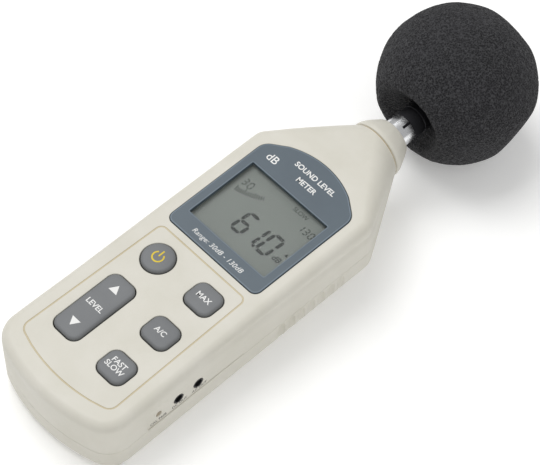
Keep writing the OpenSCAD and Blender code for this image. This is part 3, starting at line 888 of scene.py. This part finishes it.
def bezel_plate():
    """The slate plate round the window: softly rounded edges and a dark inner wall."""
    low, high, edge = BEZEL_LOW.z, BEZEL_HIGH.z, 0.3
    sections = [at(bezel_outline(), 0, 0, low)]
    for a in range(0, 91, 18):
        inset = edge * (1 - math.cos(math.radians(a)))
        sections.append(at(bezel_outline(-inset), 0, 0, high - edge * (1 - math.sin(math.radians(a)))))
    obj = piece("bezel_plate", *lofted(sections), body="housing", slot="bezel", replaces=["display_bezel"])
    paint(obj, "bezel")
    window = hole(window_outline, 0, 0, low - 1, high, 0.12)
    cut(obj, cutter(window, MATERIALS["bezel"]))
    finish_shading(obj)
    return obj


def bezel_highlight_lines():
    """Paler lines round the bezel's outside and the window: painted highlights along their edges."""
    top = BEZEL_HIGH.z
    rings = []
    for outline, a, b in ((bezel_outline, -0.62, -0.34), (window_outline, 0.16, 0.4)):
        rings.append(ring_lofted([at(outline(g), 0, 0, top + z)
                                  for g, z in ((a, -0.02), (a, 0.015), (b, 0.015), (b, -0.02))]))
    obj = piece("bezel_highlight_lines", *joined(*rings), body="housing", slot="bezel")
    # the paler colour is a painted highlight along the edges
    return paint(obj, "bezel_edge_highlight")


def ink(name, solids, body, material, slot):
    """A thin raised print made of flat solids."""
    return paint(piece(name, *joined(*solids), body=body, slot=slot), material)


def slab(outline, low_z, thickness):
    """A flat shape of that thickness on top of low_z."""
    return lofted([[Vector((p.x, p.y, z)) for p in outline] for z in (low_z, low_z + thickness)])


def lettering(name, lines, size, centre, body, material, slot, gap=1.3, weight=0.0, slant=0.0, turn=None,
              spacing=1.0):
    """Raised generic lettering, its baseline along +X, or turned by a matrix."""
    curve = bpy.data.curves.new(name, "FONT")
    curve.body = "\n".join(lines)
    curve.size, curve.space_line = size, gap
    curve.align_x, curve.align_y = "CENTER", "CENTER"
    curve.offset, curve.shear, curve.space_character = weight, slant, spacing
    curve.extrude, curve.resolution_u = 0.03, 6
    loose = bpy.data.objects.new(name, curve)
    bpy.context.scene.collection.objects.link(loose)
    mesh = bpy.data.meshes.new_from_object(loose.evaluated_get(bpy.context.evaluated_depsgraph_get()))
    bpy.data.objects.remove(loose)
    verts = [v.co.copy() for v in mesh.vertices]
    faces = [tuple(p.vertices) for p in mesh.polygons]
    bpy.data.meshes.remove(mesh)
    matrix = Matrix.Translation(centre) @ (turn or Matrix.Identity(4))
    return paint(piece(name, *moved((verts, faces), matrix), body=body, slot=slot), material)


def digit(lit, x, y, width, height, thick, slant=0.1):
    """The lit segments of one digit, centred on (x, y), just above the display's face."""
    half_w, half_h, t = width / 2, height / 2, thick / 2
    gap = thick * 0.18
    across = {"a": half_h - t, "g": 0, "d": -half_h + t}
    upright_segments = {"f": (-1, 1), "b": (1, 1), "e": (-1, -1), "c": (1, -1)}
    solids = []
    for name in lit:
        if name in across:
            v, run = across[name], half_w - t - gap
            shape = [(-run, v), (-run + t, v - t), (run - t, v - t), (run, v), (run - t, v + t),
                     (-run + t, v + t)]
        else:
            sx, sy = upright_segments[name]
            u, low, high = sx * (half_w - t), gap, half_h - t - gap
            shape = [(u, low), (u + t, low + t), (u + t, high - t), (u, high), (u - t, high - t),
                     (u - t, low + t)]
            if sy < 0:
                shape = [(p, -q) for p, q in reversed(shape)]
        outline = [Vector((x + p + slant * q, y + q)) for p, q in shape]
        solids.append(slab(outline, LCD_Z + 0.01, 0.03))
    return solids


SEGMENTS = {"0": "abcdef", "1": "bc", "3": "abgcd", "6": "afgedc"}


def number(string, x, y, width, height, thick):
    """A row of digits whose middle is at (x, y)."""
    pitch = width * 1.32
    start = x - pitch * (len(string) - 1) / 2
    solids = []
    for i, character in enumerate(string):
        solids += digit(SEGMENTS[character], start + i * pitch, y, width, height, thick)
    return solids


def reading():
    """The large reading and the scale's end numbers."""
    y, width, height, thick = 13.1, 6.5, 11.6, 1.45
    solids = []
    for character, x in (("6", -3.35), ("1", 3.2), ("0", 10.9)):
        solids += digit(SEGMENTS[character], x, y, width, height, thick)
    point = rounded_rect(1.3, 1.3, 0.2, 2)
    solids.append(slab([p + Vector((6.4, y - height / 2 + 0.9)) for p in point], LCD_Z + 0.01, 0.03))
    ink("reading", solids, "housing", "segment", "lcd")
    small = number("30", -16.4, 26.9, 2.3, 3.7, 0.55) + number("130", 16.2, 27.6, 2.1, 3.6, 0.55)
    ink("scale_numbers", small, "housing", "faint_segment", "lcd")


def scale_bar():
    """The row of short ticks under the scale's low end, square to a gentle curve."""
    solids, ticks = [], 15
    for i in range(ticks):
        share = i / (ticks - 1)
        foot = Vector((-18.2 + 11.9 * share, 20.9 + 4.6 * share - 3 * share * (1 - share)))
        along_curve = Vector((11.9, 4.6 - 3 * (1 - 2 * share))).normalized()
        tick = Vector((-along_curve.y, along_curve.x)) * (2.8 if i % 5 == 0 else 2.1)
        side = along_curve * 0.18
        solids.append(slab([foot - side, foot + side, foot + side + tick, foot - side + tick],
                           LCD_Z + 0.01, 0.03))
    ink("scale_bar", solids, "housing", "segment", "lcd")


def display():
    """Everything that shows in the window, and the printed words round it."""
    bezel_plate()
    # painted highlights along the bezel's and the window's edges
    bezel_highlight_lines()
    reading()
    scale_bar()
    face = LCD_Z + 0.02
    lettering("slow_word", ["SLOW"], 2.8, (8.4, 32, face), "housing", "faint_segment", "lcd", weight=0.02)
    lettering("unit_word", ["dB"], 3.6, (17.3, 10.3, face), "housing", "segment", "lcd", weight=0.05,
              slant=0.15)
    triangle = [Vector((18.2, 13.8)), Vector((19.8, 13.8)), Vector((19, 15.3))]
    ink("weighting_mark", [slab(triangle, face, 0.03)], "housing", "segment", "lcd")
    top = BEZEL_HIGH.z + 0.005
    lettering("bezel_title", ["SOUND LEVEL"], 3.4, (1.5, 46.3, top), "housing", "white_ink", "bezel",
              weight=0.07)
    lettering("bezel_subtitle", ["METER"], 3.4, (1.5, 41.4, top), "housing", "white_ink", "bezel",
              weight=0.07)
    lettering("bezel_unit", ["dB"], 5.2, (-17.2, 40.9, top), "housing", "white_ink", "bezel", weight=0.03)
    lettering("bezel_range", ["Range: 30dB - 130dB"], 3.1, (0, -4.7, top), "housing", "white_ink", "bezel",
              slant=0.2, spacing=1.06)


# ---- keys -----------------------------------------------------------------------

def cap_solid(outline_of, centre, low_z, top_z):
    """A key's cap: straight sides, a rounded edge and a gently crowned top."""
    edge, crown = 1.3, 0.16
    sections = [at(outline_of(0), centre.x, centre.y, low_z)]
    for a in range(0, 91, 15):
        inset = edge * (1 - math.cos(math.radians(a)))
        z = top_z - crown - edge * (1 - math.sin(math.radians(a)))
        sections.append(at(outline_of(-inset), centre.x, centre.y, z))
    for inset in (1.8, 2.4, 3.1):
        rise = crown * (1 - ((3.1 - inset) / 1.8) ** 2)
        sections.append(at(outline_of(-inset), centre.x, centre.y, top_z - crown + rise))
    return lofted(sections)


def key_caps():
    """The five rubber keys, each with its flange and plunger, in place of its CAD node."""
    for node, body in KEYS.items():
        outline, centre = key_outline(node)
        low, high = corners(node)
        flange_z = FACE_Z - WALL - 0.4
        cap = cap_solid(outline, centre, flange_z - 0.6, high.z)
        flange = rounded_box((low.x, centre.y - 4 if node == "level_button" else low.y, flange_z - 1.2),
                             (high.x, centre.y + 4 if node == "level_button" else high.y, flange_z), 3,
                             0.25)
        obj = piece(body + "_cap", *cap, body=body, slot="keys", replaces=[node])
        paint(obj, "keys")
        same = MATERIALS["keys"]
        cut(obj, cutter(flange, same), operation="UNION")
        stems, stem_z = (0,), low.z
        if node == "level_button":
            stems, stem_z = (-12, 12), low.z + 0.8
            fulcrum = box((centre.x - 4, centre.y - 0.7, low.z),
                          (centre.x + 4, centre.y + 0.7, flange_z - 0.7))
            cut(obj, cutter(fulcrum, same), operation="UNION")
        for offset in stems:
            stem = upright(centre.x, centre.y + offset, (2.6, stem_z), (3, stem_z + 0.4),
                           (3, flange_z - 0.7))
            cut(obj, cutter(stem, same), operation="UNION")
        finish_shading(obj)


def power_symbol():
    """The yellow power mark: a broken ring and a bar."""
    centre, z = middle("power_button"), corners("power_button")[1].z + 0.005
    radius, half = 2.35, 0.33
    gap = math.radians(38)
    start, stop = math.pi / 2 + gap, math.pi / 2 + math.tau - gap
    ring = arc((0, 0), radius + half, start, stop, 40) + arc((0, 0), radius - half, stop, start, 40)
    bar = [p + Vector((0, 1.9)) for p in rounded_rect(2 * half, 3.2, half * 0.9, 4)]
    solids = [slab([p + centre.xy for p in outline], z, 0.04) for outline in (ring, bar)]
    ink("power_symbol", solids, "power_key", "yellow_ink", "keys")


def key_legends():
    """White legends on the keys and the arrows on the rocker."""
    words = {"max_button": ["MAX"], "ac_button": ["A/C"], "fast_slow_button": ["FAST", "SLOW"],
             "level_button": ["LEVEL"]}
    for node, lines in words.items():
        centre, z = middle(node), corners(node)[1].z + 0.005
        lettering(KEYS[node] + "_legend", lines, 3.35, (centre.x, centre.y, z), KEYS[node], "white_ink",
                  "keys",
                  gap=0.85, weight=0.05)
    centre, z = middle("level_button"), corners("level_button")[1].z + 0.005
    arrows = []
    for way in (-1, 1):
        tip, base, half = centre.y + way * 12.7, centre.y + way * 9, way * 2.25
        points = [Vector((centre.x, tip)), Vector((centre.x - half, base)), Vector((centre.x + half, base))]
        arrows.append(slab(points, z, 0.04))
    ink("level_arrows", arrows, "level_key", "white_ink", "keys")


# ---- sockets --------------------------------------------------------------------

def sockets():
    """The two output sockets: a moulded body under the board and a ringed round mouth."""
    for node in ("ac_output_jack", "dc_output_jack"):
        low, high = corners(node)
        y, z = (low.y + high.y) / 2, MIC.z + 1
        nose, bore, depth = 2.4, 1.78, 14
        profile = [(nose, JACK_X - 3), (nose, JACK_X - 0.5), (nose - 0.12, JACK_X - 0.3),
                   (nose - 0.12, JACK_X - 0.05),
                   (nose - 0.2, JACK_X), (bore + 0.16, JACK_X), (bore, JACK_X - 0.2),
                   (bore, JACK_X - depth),
                   (0.01, JACK_X - depth), (0.01, JACK_X - depth - 0.6), (nose, JACK_X - depth - 0.6)]
        barrel = moved(ring_lofted(lathed(profile, 48)), along_x(y, z))
        block = rounded_box(low, (JACK_X - WALL - 1, high.y, high.z), 0.4, 0.2)
        obj = piece(node + "_body", *block, body="housing", slot="dark_plastic", replaces=[node])
        paint(obj, "jack")
        well = moved(lofted(lathed([(nose - 0.3, JACK_X - depth - 0.3), (nose - 0.3, JACK_X)], 48)),
                     along_x(y, z))
        cut(obj, cutter(well, MATERIALS["jack"]))
        finish_shading(obj)
        mouth = piece(node + "_mouth", *barrel, body="housing", slot="dark_plastic")
        paint(mouth, "jack")
        contact = [(bore - 0.02, JACK_X - 3.2), (bore - 0.3, JACK_X - 3.6), (bore - 0.3, JACK_X - 4.4),
                   (bore - 0.02, JACK_X - 4.8)]
        ring = piece(node + "_contact", *moved(ring_lofted(lathed(contact, 40)), along_x(y, z)),
                     body="housing",
                     slot="steel")
        paint(ring, "steel")


def side_marks():
    """Small dark words under the sockets and the trimmer."""
    turn = Matrix(((0, 0, 1, 0), (1, 0, 0, 0), (0, 1, 0, 0), (0, 0, 0, 1)))
    x, z = JACK_X + 0.005, 15
    for name, lines, node, shift in (("ac_mark", ["AC OUT"], "ac_output_jack", 0.4),
                                     ("dc_mark", ["DC OUT"], "dc_output_jack", 0.2),
                                     ("calibrate_mark", ["CAL 94dB"], "trimmer_rotor", -0.6)):
        lettering(name, lines, 2.0, (x, middle(node).y + shift, z), "housing", "dark_ink", "housing",
                  turn=turn)


# ---- microphone -------------------------------------------------------------------

def sleeve():
    """The bright sleeve, with a rounded front edge and one lengthwise slot."""
    r, wall, edge = SLEEVE_R, 0.75, 0.25
    low = corners("mic_sleeve")[0].y
    profile = [(r, low), (r, SLEEVE_Y - edge), (r - 0.08, SLEEVE_Y - 0.08), (r - edge, SLEEVE_Y),
               (r - wall, SLEEVE_Y),
               (r - wall, low)]
    obj = piece("sleeve", *moved(ring_lofted(lathed(profile, 96)), ALONG_Y), body="housing", slot="chrome",
                replaces=["mic_sleeve"])
    paint(obj, "chrome")
    turn = Matrix.Translation(MIC) @ Matrix.Rotation(math.radians(26), 4, "Y")
    slot = moved(box((-0.55, SLEEVE_Y - 4, 0), (0.55, SLEEVE_Y + 1, r + 1)), turn)
    # the slot's walls are painted near-black: painted shade inside the slot
    cut(obj, cutter(slot, MATERIALS["hole"]))
    finish_shading(obj)


def capsule_housing():
    """The black front of the microphone: a smooth barrel with a shallow groove and a slotted tip."""
    r, base, tip = SLEEVE_R - 0.15, SLEEVE_Y + 0.05, MIC_TIP_Y
    profile = [(r - 0.7, base - 3), (r - 0.7, base), (r - 0.15, base), (r, base + 0.15), (r, base + 5),
               (r - 0.2, base + 5.2), (r - 0.2, base + 5.8), (r, base + 6), (r, tip - 0.5),
               (r - 0.15, tip - 0.15),
               (r - 0.5, tip), (0.01, tip), (0.01, tip - 1), (5, tip - 1), (5, base - 3)]
    obj = piece("capsule_housing", *moved(ring_lofted(lathed(profile, 96)), ALONG_Y), body="housing",
                slot="black_metal", replaces=["mic_grid"])
    paint(obj, "black_metal")
    for i in range(5):
        x = -3.2 + 1.6 * i
        half = 3.4 if abs(i - 2) < 2 else 2.5
        slot = box((x - 0.35, tip - 2, MIC.z - half), (x + 0.35, tip + 1, MIC.z + half))
        # the slots' walls are painted near-black: painted shade inside the slots
        cut(obj, cutter(slot, MATERIALS["hole"]))
    finish_shading(obj)


# ---- windscreen ---------------------------------------------------------------------

def foam_profile():
    """Half section of the ball from the bore's end to its front, as (radius, height) points."""
    bore, end = SLEEVE_R + 0.35, MIC_TIP_Y + 4.8 - BALL_Y
    mouth_angle = math.radians(29)
    mouth = Vector((BALL_R * math.sin(mouth_angle), -BALL_R * math.cos(mouth_angle)))
    points = [Vector((0, end)), Vector((bore * 0.6, end)), Vector((bore, end - 1)), Vector((bore, -18)),
              Vector((bore + 0.6, -20.5)), Vector((bore + 2.6, -23)), Vector((mouth.x - 2.6, -26.2)),
              Vector((mouth.x - 0.9, -28.2)), Vector((mouth.x + 0.9, mouth.y + 0.9))]
    start = mouth_angle + math.radians(7)
    points += [Vector((BALL_R * math.sin(start + (math.pi - start) * i / 60),
                       -BALL_R * math.cos(start + (math.pi - start) * i / 60))) for i in range(61)]
    return points


def along(points, share):
    """The point at a share of a polyline's length."""
    lengths = [(b - a).length for a, b in zip(points, points[1:])]
    target = share * sum(lengths)
    for a, b, length in zip(points, points[1:], lengths):
        if target <= length:
            return a.lerp(b, target / length)
        target -= length
    return points[-1]


def pressed(point, dents):
    """The ball's soft irregularity: the pressed places, broad lumps and fine ones."""
    out = point.normalized()
    place = point.copy()
    for towards, depth in dents:
        limit = BALL_R - depth
        over = place.dot(towards) - limit
        if over > -2.5:
            place -= towards * (over + 2.5) ** 2 / 10 if over < 2.5 else towards * over
    outer = smoothstep(BALL_R * 0.82, BALL_R * 0.95, point.length)
    place -= out * outer * 0.8 * (0.5 + 0.5 * noise.noise(point / 16))
    place -= out * outer * 0.22 * (0.5 + 0.5 * noise.noise(point / 4))
    return place


def pore(point):
    """Depth of the open cells at a point, from 0 to 1."""
    distances, _ = noise.voronoi(point / 1.25)
    return 1 - smoothstep(0.12, 0.62, distances[0])


def foam_ball():
    """The foam windscreen: a slightly misshapen ball with open cells and a bore for the microphone."""
    bm = bmesh.new()
    bmesh.ops.create_icosphere(bm, subdivisions=1, radius=1)
    cuts = 84
    bmesh.ops.subdivide_edges(bm, edges=bm.edges, cuts=cuts, use_grid_fill=True)
    profile = foam_profile()
    dents = foam_dents()
    inner = 0.29
    inner_length = 0.245
    mouth, lip_r, lip_width = Vector((0, 0, -BALL_R * 0.85)), 15, 5
    upright_to_axis = Matrix.Rotation(-math.pi / 2, 3, "X")
    pore_depth, pore_offset = 0.45, Vector((7, 3, 5))
    for vert in bm.verts:
        n = vert.co.normalized()
        angle = math.acos(max(-1, min(1, -n.z)))
        share = angle / math.pi
        if share < inner:
            share = share / inner * inner_length
        else:
            share = inner_length + (share - inner) / (1 - inner) * (1 - inner_length)
        flat = along(profile, share)
        turn = math.atan2(n.y, n.x)
        point = Vector((flat.x * math.cos(turn), flat.x * math.sin(turn), flat.y))
        lip = math.exp(-(((point - mouth).length - lip_r) / lip_width) ** 2)
        point *= 1 - 0.03 * lip * noise.noise(point / 9)
        out = point.normalized()
        place = pressed(upright_to_axis @ point, dents)
        grain = pore(place + pore_offset)
        outer = smoothstep(BALL_R * 0.7, BALL_R * 0.95, point.length)
        place -= (upright_to_axis @ out) * pore_depth * grain + FOAM_SIDESTEP * outer
        vert.co = place + MIC + Vector((0, BALL_Y, 0))
    verts = [v.co.copy() for v in bm.verts]
    bm.verts.index_update()
    faces = [tuple(v.index for v in f.verts) for f in bm.faces]
    bm.free()
    obj = piece("foam_windscreen", verts, faces, body="foam_ball", slot="foam", replaces=["windscreen"],
                smooth=180)
    paint(obj, "foam")


# ---- inside ---------------------------------------------------------------------------

def insert():
    """The brass tripod insert, with turned thread grooves in its bore."""
    high = corners("tripod_insert")[1]
    outer, bore, root, pitch = high.x, 2.6, 3.1, 1.27
    profile = [(outer - 0.2, 0), (outer, 0.2), (outer, high.z - 0.2), (outer - 0.2, high.z), (bore, high.z)]
    turns = int(high.z / pitch)
    for i in range(turns):
        z = high.z - 0.5 - pitch * i
        profile += [(bore, z), (root, z - pitch * 0.4), (root, z - pitch * 0.5), (bore, z - pitch * 0.9)]
    profile += [(bore, 0.4), (bore + 0.4, 0)]
    obj = piece("threaded_insert", *ring_lofted(lathed(profile, 64)), body="housing", slot="brass",
                replaces=["tripod_insert"])
    paint(obj, "brass")


def nine_volt():
    """The battery: a can with rounded edges and its two snap terminals."""
    low, high = corners("battery")
    top = high.y - 2.4
    can = rounded_box((low.x, low.z, -top), (high.x, high.z, -low.y), 1.6, 0.5)
    turn = Matrix(((1, 0, 0, 0), (0, 0, -1, 0), (0, 1, 0, 0), (0, 0, 0, 1)))
    solids = [moved(can, turn)]
    rim = Matrix.Translation((0, top, (low.z + high.z) / 2)) @ Matrix.Rotation(-math.pi / 2, 4, "X")
    small = [(2.9, -0.1), (2.9, 0.3), (2.5, 0.5), (2.5, 2.1), (2.75, 2.4), (1.9, 2.4), (1.8, 0.6),
             (0.4, 0.6), (0.4, -0.1)]
    for x in (-6.4, 6.4):
        solids.append(moved(ring_lofted(lathed(small, 40)), Matrix.Translation((x, 0, 0)) @ rim))
    obj = piece("nine_volt", *joined(*solids), body="housing", slot="battery_case", replaces=["battery"])
    paint(obj, "can")


LOOKS = {"display_lens": "window", "lcd_glass": "display", "lcd_frame": "jack", "zebra_strips": "elastomer",
         "main_board": "mask", "board_chips": "chips", "dome_switches": "steel", "keypad_mat": "mat",
         "trimmer_body": "blue", "trimmer_rotor": "rotor", "mic_capsule": "steel", "mic_board": "mask",
         "mic_bush": "rubber", "mic_lead": "rubber", "battery_pad": "pad", "battery_snap": "jack",
         "battery_leads": "wire", "case_screws": "steel", "board_screws": "steel"}

FOAM_SIDESTEP = Vector((0.9, 0.9, 0))


def foam_dents():
    """The directions and depths of the two pressed places, at the right of the front view."""
    back = direction(CAMERA_AZIMUTH, CAMERA_ELEVATION)
    right = Vector((0, 0, 1)).cross(back).normalized()
    up = back.cross(right)
    dents = []
    for clock, depth in ((-45, 0.8), (40, 1.3)):
        a = math.radians(clock)
        dents.append(((right * math.cos(a) - up * math.sin(a)).normalized(), depth))
    return dents


# ---- camera, floor and light --------------------------------------------------

CAMERA_TARGET = Vector((8.9, 15.0, 34.3))
CAMERA_AZIMUTH, CAMERA_ELEVATION, CAMERA_ROLL = 47.21, 55.82, -0.46
CAMERA_DISTANCE = 1050.6
CAMERA_LENS = 179.8


def direction(azimuth, elevation):
    """The unit vector from the object towards a viewer at that azimuth and elevation."""
    a, e = math.radians(azimuth), math.radians(elevation)
    return Vector((math.sin(a) * math.cos(e), -math.cos(a) * math.cos(e), math.sin(e)))


def make_camera():
    """The camera, at the photograph's viewing angle."""
    data = bpy.data.cameras.new("camera")
    data.lens, data.sensor_width = CAMERA_LENS, 36
    data.clip_start, data.clip_end = 0.1, 10
    camera = bpy.data.objects.new("camera", data)
    away = direction(CAMERA_AZIMUTH, CAMERA_ELEVATION)
    camera.location = (CAMERA_TARGET + away * CAMERA_DISTANCE) * MM
    look = (-away).to_track_quat("-Z", "Y").to_matrix()
    camera.rotation_euler = (look @ Matrix.Rotation(math.radians(CAMERA_ROLL), 3, "Z")).to_euler()
    bpy.context.scene.collection.objects.link(camera)
    bpy.context.scene.camera = camera


def make_floor():
    """A pale floor that the ball's underside and the housing's heel both touch."""
    heel = Vector((0, TAIL_Y + BACK_R, BACK_R))
    ball = Vector((0, BALL_Y, MIC.z))
    gap = ball - heel
    tilt = math.asin((BALL_R - BACK_R) / gap.length) - math.atan2(gap.z, gap.y)
    normal = Vector((0, math.sin(tilt), math.cos(tilt)))
    size = 3000
    mesh = bpy.data.meshes.new("floor")
    steps = [(-size, -size), (size, -size), (size, size), (-size, size)]
    mesh.from_pydata([Vector((x, y, 0)) * MM for x, y in steps], [], [(0, 1, 2, 3)])
    floor = bpy.data.objects.new("floor", mesh)
    floor.location = (heel - normal * (BACK_R + 0.1)) * MM
    floor.rotation_euler = (-tilt, 0, 0)
    paper = grained("floor", srgb(250, 250, 249), srgb(247, 247, 246), 0.9, 2, 0.01)
    shader = paper.node_tree.nodes["Principled BSDF"]
    shader.inputs["Emission Color"].default_value = (1, 1, 1, 1)
    shader.inputs["Emission Strength"].default_value = 0.18
    mesh.materials.append(paper)
    bpy.context.scene.collection.objects.link(floor)


def area_light(name, azimuth, elevation, distance_m, size_m, watts, colour=(1, 1, 1)):
    """A square soft light aimed at the object."""
    data = bpy.data.lights.new(name, "AREA")
    data.shape, data.size, data.energy, data.color = "SQUARE", size_m, watts, colour
    light = bpy.data.objects.new(name, data)
    away = direction(azimuth, elevation)
    light.location = away * distance_m
    light.rotation_euler = (-away).to_track_quat("-Z", "Y").to_euler()
    bpy.context.scene.collection.objects.link(light)


def make_light():
    """Even studio light: a bright surround, a broad key from the upper left and a fill."""
    world = bpy.data.worlds.new("studio")
    world.use_nodes = True
    background = world.node_tree.nodes["Background"]
    background.inputs["Color"].default_value = (1, 1, 1, 1)
    background.inputs["Strength"].default_value = 0.45
    bpy.context.scene.world = world
    area_light("key", -100, 66, 1.6, 1.1, 15.5)
    area_light("fill", 80, 50, 1.8, 1.2, 5)
    bpy.context.scene.view_settings.view_transform = "Standard"


make_camera()
make_floor()
make_light()

case_front()
case_back()
battery_door()
collar()
collar_joint()
display()
key_caps()
power_symbol()
key_legends()
sockets()
side_marks()
sleeve()
capsule_housing()
foam_ball()
insert()
nine_volt()
for node_name, look in LOOKS.items():
    repaint(node_name, look)
